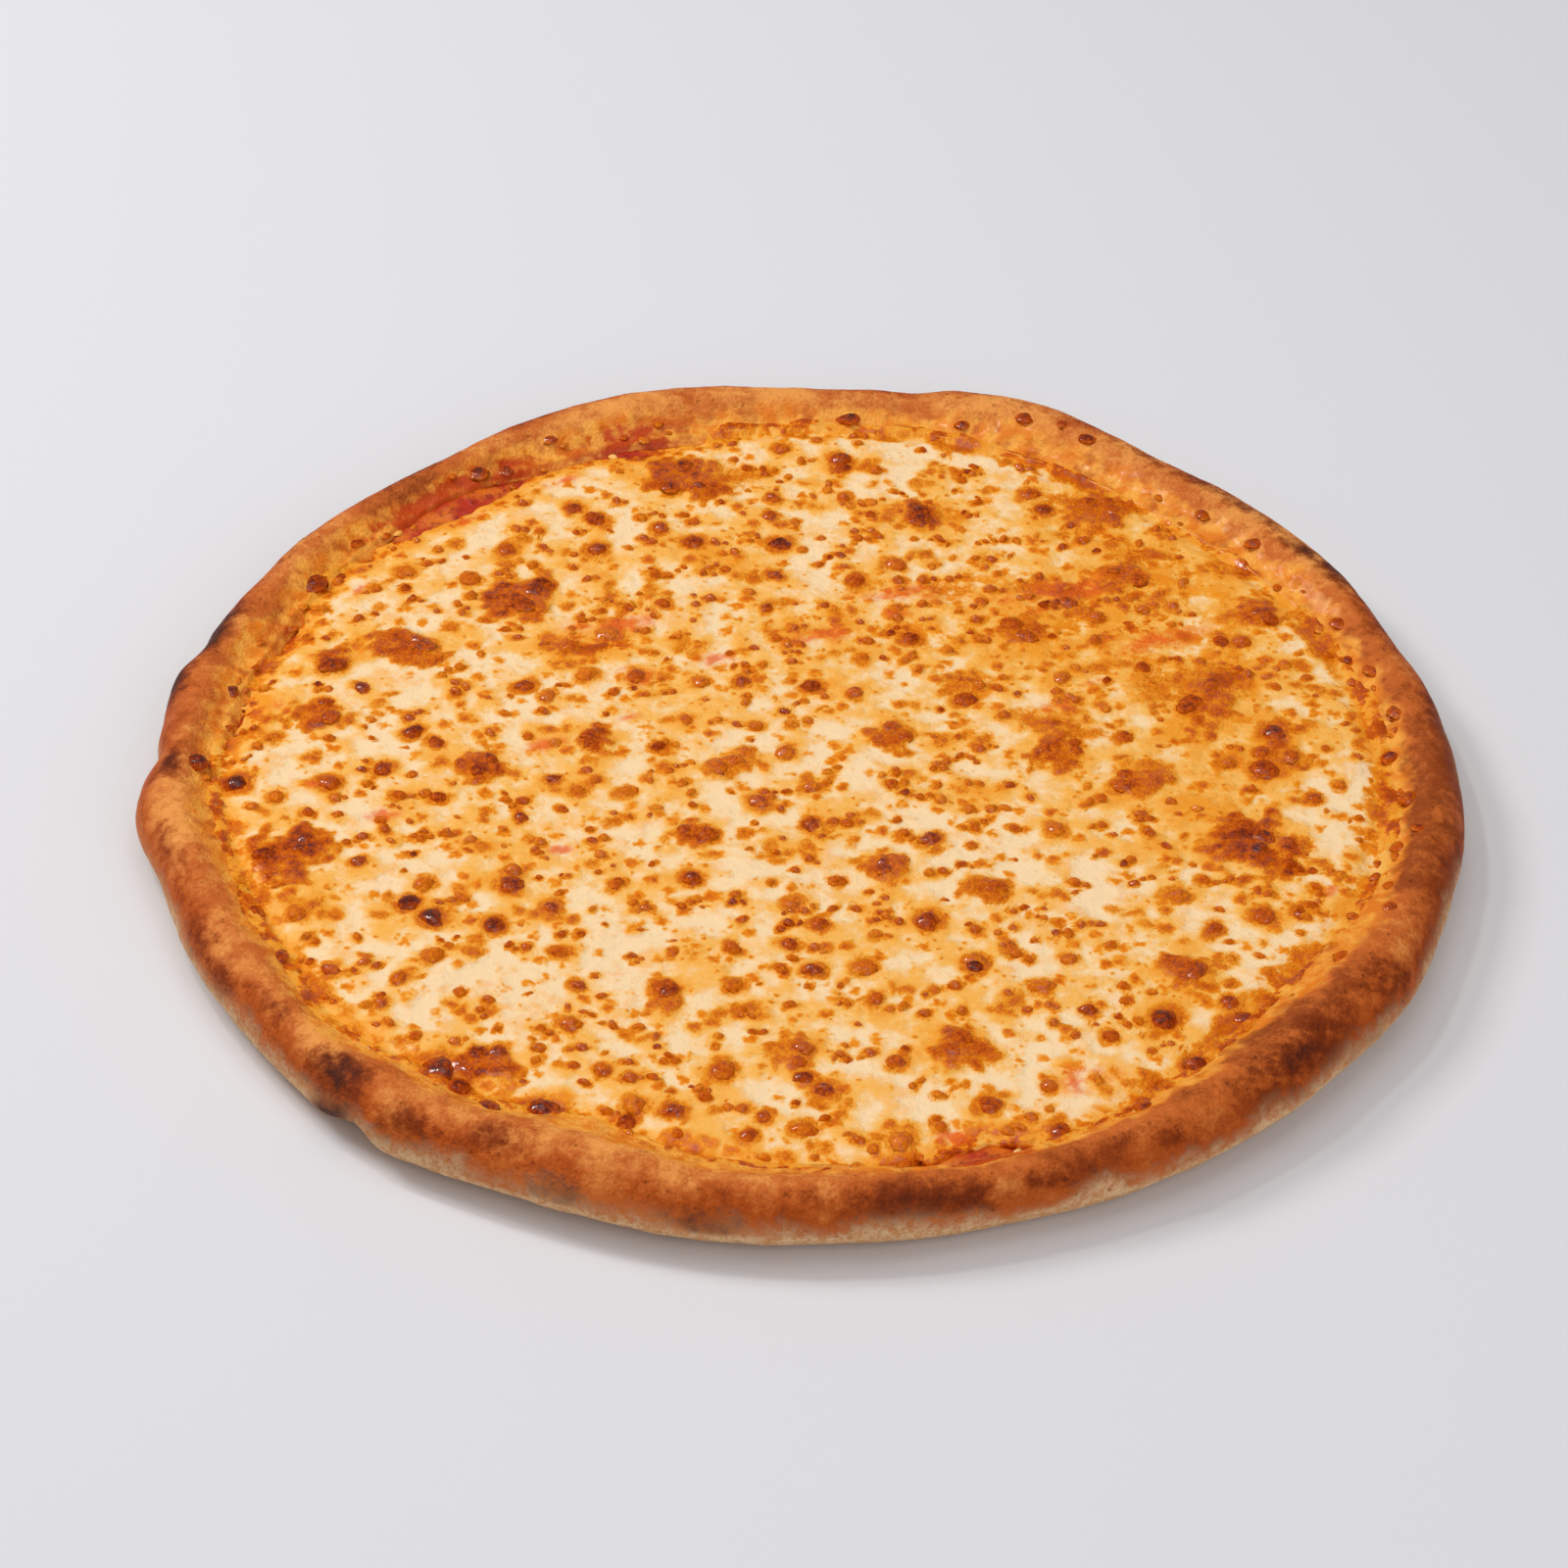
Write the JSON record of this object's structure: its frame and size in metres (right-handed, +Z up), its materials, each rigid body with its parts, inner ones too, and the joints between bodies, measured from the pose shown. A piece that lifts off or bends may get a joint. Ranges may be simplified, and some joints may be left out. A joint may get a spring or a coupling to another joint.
{
  "type": "pan pizza",
  "caption": "Whole uncut cheese pizza with a puffed hand-formed rim, a thin tomato sauce layer and blistered, browned cheese.",
  "frame": {"origin": "centre of the flat underside of the pizza", "axes": "+Z up out of the top, -Y towards the side that faces the viewer, +X to the viewer's right"},
  "size_m": [0.3106, 0.3082, 0.0188],
  "materials": {
    "baked_dough": "matte golden-brown baked dough with darker scorched blotches and a pale lower flank",
    "tomato_sauce": "wet red-orange tomato sauce with an oily sheen",
    "browned_cheese": "cream to yellow melted cheese with orange tints and brown oily blisters"
  },
  "bodies": {
    "root": {"crust": "baked_dough", "sauce": "tomato_sauce", "cheese": "browned_cheese"}
  },
  "joints": []
}
